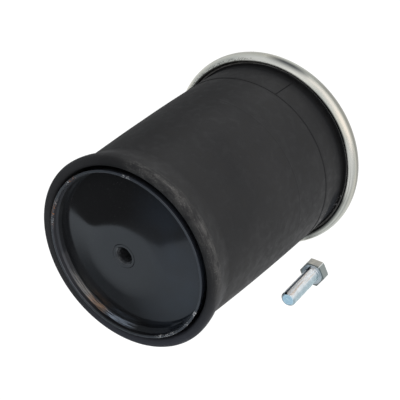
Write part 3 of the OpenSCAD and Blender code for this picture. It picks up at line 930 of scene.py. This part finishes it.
# %% Piston shell
head_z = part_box("piston_shell")[0][2]
shoulder_r = shoulder_z - head_z
shoulder_c = (piston_r - shoulder_r, shoulder_z)
screw_hole = 6.5 * MM
rim_soft = 0.8 * MM
flare_h = 14 * MM
flare_z = rim_z - flare_h
mouth_r = rim_r - shell_t - 0.2 * MM
mouth_z = rim_z - 2.2 * MM
inner_r = piston_r - shell_t
shell_path = (
    [(screw_hole, head_z)] + arc(shoulder_c, shoulder_r, -90, 0, 16)
    + bend([(piston_r, flare_z), (piston_r + 0.4 * (rim_r - piston_r), (flare_z + rim_z) / 2),
            (rim_r, rim_z - rim_soft)], 12)
    + arc((rim_r - rim_soft, rim_z - rim_soft), rim_soft, 0, 90, 8)[1:]
    + bend([(rim_r - 2 * rim_soft, rim_z), (mouth_r, rim_z), (mouth_r, mouth_z)], 10)
    + [(inner_r, flare_z)]
    + arc(shoulder_c, shoulder_r - shell_t, 0, -90, 16) + [(screw_hole, head_z + shell_t)])
shell = turned("shell", filled(shell_path, 8 * MM), rim_paint, columns=256)

# %% Piston base
base_t = 2.5 * MM
spigot_r = 11.85 * MM
dish_depth = 10.4 * MM
foot_z = rim_z - dish_depth
centre_z = rim_z - 1.5 * MM
centre_r = 35 * MM
soft_reach = 11 * MM
skirt_l = 14 * MM
weld_z = foot_z + 5.8 * MM


def wall_in(z):
    """Radius of the shell's inner wall at this height."""
    return inner_r + (mouth_r - inner_r) * (z - flare_z) / (mouth_z - flare_z)


foot_r = wall_in(foot_z) - 2 * MM
cone_fall = (centre_z - foot_z) / (foot_r - centre_r)
crest = bend([(centre_r - soft_reach, centre_z), (centre_r, centre_z),
              (centre_r + soft_reach, centre_z - soft_reach * cone_fall)], 24)
base_path = (
    [(spigot_r, centre_z - 0.7 * MM), (spigot_r + 0.6 * MM, centre_z)] + crest
    + [(foot_r, foot_z), (wall_in(weld_z), weld_z), (inner_r, flare_z), (inner_r, foot_z - skirt_l),
       (inner_r - base_t, foot_z - skirt_l), (inner_r - base_t, foot_z - base_t)]
    + [(r, z - base_t) for r, z in crest[::-1]] + [(spigot_r, centre_z - base_t)])
base = turned("base", filled(base_path, 5 * MM), paint, columns=256, ripple=0.25 * MM, ripples=14, seed=5)

# %% [markdown]
# A screw thread is a ridge that follows a helix, which is a job for Geometry Nodes: a
# spiral curve is swept with a small diamond, half of it sunk in the metal. One tree makes
# the bolt's thread and the tapped holes alike.

# %% The threading tree
threading = bpy.data.node_groups.new("threading", "GeometryNodeTree")
use = new_inputs(threading, [
    ("Radius", "NodeSocketFloat", 0.008), ("Pitch", "NodeSocketFloat", 0.002),
    ("Length", "NodeSocketFloat", 0.05), ("Ridge", "NodeSocketFloat", 0.001),
    ("Finish", "NodeSocketMaterial", None)])
turns = sums("DIVIDE", use["Length"], use["Pitch"])
helix = wire(threading, "GeometryNodeCurveSpiral", {
    "Resolution": 40, "Rotations": turns, "Start Radius": use["Radius"],
    "End Radius": use["Radius"], "Height": use["Length"]})
diamond = wire(threading, "GeometryNodeCurvePrimitiveCircle", {"Resolution": 4, "Radius": use["Ridge"]})
ridge = wire(threading, "GeometryNodeCurveToMesh", {
    "Curve": helix.outputs["Curve"], "Profile Curve": diamond.outputs["Curve"], "Fill Caps": True})
dressed = wire(threading, "GeometryNodeSetMaterial", {
    "Geometry": wire(threading, "GeometryNodeRealizeInstances", {"Geometry": ridge.outputs[0]}).outputs[0],
    "Material": use["Finish"]})
threading.links.new(dressed.outputs[0], threading.nodes.new("NodeGroupOutput").inputs[0])
print("threading tree has", len(threading.nodes), "nodes")


def thread(name, radius, pitch, length, ridge_size, finish, at):
    """A helical ridge about a vertical axis that starts at this point."""
    piece = grow(name, threading, {
        "Radius": radius, "Pitch": pitch, "Length": length, "Ridge": ridge_size, "Finish": finish}, 20)
    piece.data.transform(Matrix.Translation(at))
    return piece


# %% Tapped holes of the boss, the nuts and the inlet
fine_pitch = 1.5 * MM
nut_pitch = 1.75 * MM
boss_tap = 8.25 * MM
nut_tap = 5.1 * MM
inlet_tap = 7.25 * MM
tap_start = 1.2 * MM
ridge_sunk = 0.3 * MM
fine_ridge = 0.65 * MM
boss_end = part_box("base_boss")[0][2]
boss_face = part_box("base_boss")[1][2]
boss_thread = thread("boss_thread", boss_tap + ridge_sunk, fine_pitch, boss_face - boss_end - 3 * MM,
                     fine_ridge, boss_finish, (0, 0, boss_end + 1.0 * MM))
nut_threads = [
    thread(f"nut_thread_{number}", nut_tap + 0.35 * MM, nut_pitch, 13 * MM, 0.75 * MM,
           bolt_zinc, (x, 0, tap_start))
    for number, x in ((1, -nut_x), (2, nut_x))]
inlet_thread = thread("inlet_thread", inlet_tap + ridge_sunk, fine_pitch, 14 * MM, fine_ridge,
                      bolt_zinc, (0, inlet_y, tap_start))
print("tapped threads:", 2 + len(nut_threads))

# %% [markdown]
# The loose bolt stands on its head, a hexagon whose corners are turned off by a cone. The
# shank has a thin washer face, a short plain neck, a thread and a bevelled tip. The head
# is a stack of rings whose radius follows the flats, and the shank is turned.

# %% Sizes of the bolt
bolt_low, bolt_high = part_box("piston_bolt")
bolt_x, bolt_y = (bolt_low[0] + bolt_high[0]) / 2, (bolt_low[1] + bolt_high[1]) / 2
bolt_top = bolt_high[2]
bolt_turn = math.radians(161.2)
head_h = 11.5 * MM
flats = 27 * MM
washer_face_r = 12.5 * MM
washer_face_t = 0.4 * MM
neck_top = head_h + 4 * MM
neck_stem_r = 8.95 * MM
core_r = 8.66 * MM
tip_chamfer_r = 2 * MM
tip_chamfer_z = 2.1 * MM
print("bolt stands at", round(bolt_x, 4), round(bolt_y, 4), "and is", round(bolt_top, 4), "high")


# %% Head of the bolt
def hexagon_head(name, finish):
    """Hexagon head with its corners turned off at the free end, at height zero."""
    mesh = bpy.data.meshes.new(name)
    work = bmesh.new()
    corner = flats / 2 / math.cos(math.radians(30))
    sides = 96
    rings = []
    for z, limit in ((0, corner - 0.7 * MM), (0.5 * MM, corner), (head_h - 0.3 * MM, corner),
                     (head_h, corner - 0.25 * MM)):
        ring = []
        for i in range(sides):
            a = math.tau * i / sides
            off_flat = (a % (math.pi / 3)) - math.pi / 6
            r = min(limit, flats / 2 / math.cos(off_flat))
            ring.append(work.verts.new((r * math.cos(a), r * math.sin(a), z)))
        rings.append(ring)
    for low, high in zip(rings, rings[1:]):
        for i in range(sides):
            work.faces.new((low[i], low[(i + 1) % sides], high[(i + 1) % sides], high[i]))
    work.faces.new(rings[0][::-1])
    work.faces.new(rings[-1])
    work.to_mesh(mesh)
    work.free()
    return settle(name, mesh, finish, 25)


bolt_head = hexagon_head("bolt_head", head_zinc)
bolt_head.data.transform(Matrix.Translation((bolt_x, bolt_y, 0)) @ Matrix.Rotation(bolt_turn, 4, "Z"))
print("bolt_head", len(bolt_head.data.polygons), "faces")

# %% Shank and thread of the bolt
shank_path = [
    (0, head_h), (washer_face_r, head_h), (washer_face_r, head_h + washer_face_t),
    (9.3 * MM, head_h + washer_face_t), (neck_stem_r + 0.02 * MM, head_h + 0.9 * MM),
    (neck_stem_r, neck_top), (core_r, neck_top + 1 * MM), (core_r, bolt_top - tip_chamfer_z),
    (core_r - tip_chamfer_r, bolt_top), (0, bolt_top)]
bolt_shank = turned("bolt_shank", filled(shank_path, 6 * MM), shank_zinc, columns=96, crease=25)
bolt_shank.data.transform(Matrix.Translation((bolt_x, bolt_y, 0)))
bolt_thread = thread("bolt_thread", core_r - 0.1 * MM, fine_pitch, bolt_top - head_h - 7.5 * MM, 0.26 * MM,
                     shank_zinc, (bolt_x, bolt_y, neck_top + 1 * MM))
print("bolt_thread", len(bolt_thread.data.polygons), "faces")

# %% [markdown]
# The bolt's zinc is brighter and bluer than the plate's. Its head has painted light: a lighter patchy tone on
# its upper flat, painted shade on the right flat and along the upper edge, and a painted highlight on one
# corner. Its shank has a painted highlight, a painted dark reflection as a stripe down one side, painted
# shade at its seat and at the tip's rim, and a pale blue tip. These layers count their angles round the
# bolt's own axis. The dark stripe is fully metallic and the rest of the shank is less so, which keeps it pale
# in a white tent.

# %% Finishes of the bolt
# Angles of painted light on the bolt: a painted highlight, a painted dark reflection and painted shade on the
# tip's rim.
highlight_side = (-52, 24, 12)
dark_reflection_side = (-22, 15, 10)
rim_side = (80, 105, 80)


def round_the_bolt(finish):
    """Shader and coordinates of a finish, measured from the bolt's axis."""
    shader, spot = opened(finish)
    return shader, vectors("SUBTRACT", spot, (bolt_x, bolt_y, 0))[0]


def head_layers(spot):
    right_flat = math.degrees(bolt_turn) - 270
    lit_flat_patches = spread(grain(spot, 160, 2), 0.48, 0.6)
    upper_edge = spread(height_of(spot), head_h - 1 * MM, head_h - 0.4 * MM, 0, 0.55)
    # All four layers are painted light: patches of a lit tone on the upper flat, painted shade on the right
    # flat and along the head's upper edge, and a painted highlight on one corner.
    return [
        (product(lit_flat_patches, facing(spot, right_flat + 72, 16, 8)), (0.36, 0.35, 0.31)),
        (facing(spot, right_flat, 30.5, 29.5), (0.23, 0.26, 0.255)),
        (upper_edge, (0.13, 0.17, 0.175)),
        (facing(spot, right_flat + 30, 2.4, 1.2), (0.62, 0.65, 0.64)),
    ]


def shank_layers(spot):
    z = height_of(spot)
    r = from_axis(spot)
    streak = grain(spot, 260, 2, (1, 1, 0.05))
    stem = spread(z, head_h + 0.3 * MM, head_h + 0.8 * MM)
    seat = inverse(stem)
    tip = spread(z, bolt_top - 0.3 * MM, bolt_top - 0.1 * MM)
    chamfer = spread(z, bolt_top - 2.2 * MM, bolt_top - 2 * MM)
    tip_rim = product(tip, spread(r, core_r - 2.7 * MM, core_r - 2.4 * MM))
    mottled_tip = product(tip, spread(grain(spot, 330, 2), 0.45, 0.6))
    return [
        (product(stem, spread(streak, 0.42, 0.5)), (0.68, 0.74, 0.77)),
        # Painted highlight down one side of the shank.
        (product(stem, facing(spot, *highlight_side)), (0.84, 0.88, 0.9)),
        (product(stem, spread(streak, 0.55, 0.6)), (0.62, 0.57, 0.52)),
        # Painted bluish reflection on the side near -160 degrees.
        (product(stem, facing(spot, -160, 72, 38)), (0.34, 0.45, 0.49)),
        # Painted dark reflection as a stripe down the shank.
        (product(stem, facing(spot, *dark_reflection_side)), (0.006, 0.02, 0.042)),
        # Painted shade on one side of the seat under the head.
        (product(seat, facing(spot, 25, 52, 25)), (0.14, 0.19, 0.22)),
        # Painted shade on one side of the tip's chamfer.
        (product(chamfer, facing(spot, *rim_side)), (0.1, 0.13, 0.15)),
        (tip, (0.47, 0.71, 0.86)),
        (mottled_tip, (0.6, 0.84, 0.95)),
        # Painted shade on one side of the tip's rim.
        (product(tip_rim, facing(spot, *rim_side)), (0.2, 0.25, 0.28)),
    ]


head_shader, head_spot = round_the_bolt(head_zinc)
retint(head_zinc, head_layers(head_spot))
head_shader.inputs["Metallic"].default_value = 0.8

shank_shader, shank_spot = round_the_bolt(shank_zinc)
shank_tints = shank_layers(shank_spot)
retint(shank_zinc, shank_tints)
# The metallic share follows the painted dark reflection and the painted highlight.
dark_reflection_share = product(facing(shank_spot, *dark_reflection_side), 0.5)
highlight_share = product(facing(shank_spot, *highlight_side), 0.35)
bare = sums("SUBTRACT", sums("ADD", dark_reflection_share, 0.5), highlight_share)
feed(shank_shader, "Metallic", bare)
print("layers on the shank:", len(shank_tints))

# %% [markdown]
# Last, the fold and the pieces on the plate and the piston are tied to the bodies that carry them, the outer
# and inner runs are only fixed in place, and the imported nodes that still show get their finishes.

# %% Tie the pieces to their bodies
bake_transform(outer_run)
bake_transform(inner_run)
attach(fold, "lobe")
for piece in (strip, plate, bolt_head, bolt_shank, bolt_thread, inlet_thread, *nut_threads):
    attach(piece, "plate")
for piece in (shell, base, boss_thread):
    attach(piece, "piston")
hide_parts("sleeve_cover", "sleeve_cords", "sleeve_liner")
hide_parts("lobe_cover", "lobe_cords", "lobe_liner")
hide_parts("inner_cover", "inner_cords", "inner_liner")
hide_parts("chafer_strip")
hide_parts("bead_plate")
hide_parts("piston_shell")
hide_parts("piston_base")
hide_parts("piston_bolt")
print("inner run stretches between", round(shoulder_z, 4), "and", round(leg_z, 4))

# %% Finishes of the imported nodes
node_finishes = {
    "upper_bead": end_rubber, "lower_bead": rubber, "bumper": bumper_rubber,
    "upper_bead_core": wire_steel, "lower_bead_core": wire_steel,
    "bead_clamp": clamp_zinc, "mounting_nuts": bolt_zinc, "air_inlet": bolt_zinc,
    "bumper_screw": bolt_zinc, "bumper_washer": bolt_zinc, "bumper_nut": bolt_zinc,
    "centre_tube": dark_steel, "base_boss": boss_finish,
}
for node_name, finish in node_finishes.items():
    covered(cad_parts[node_name].data, finish)
print("packed nodes with a finish:", len(node_finishes))

# %% Update the scene
bpy.context.view_layer.update()
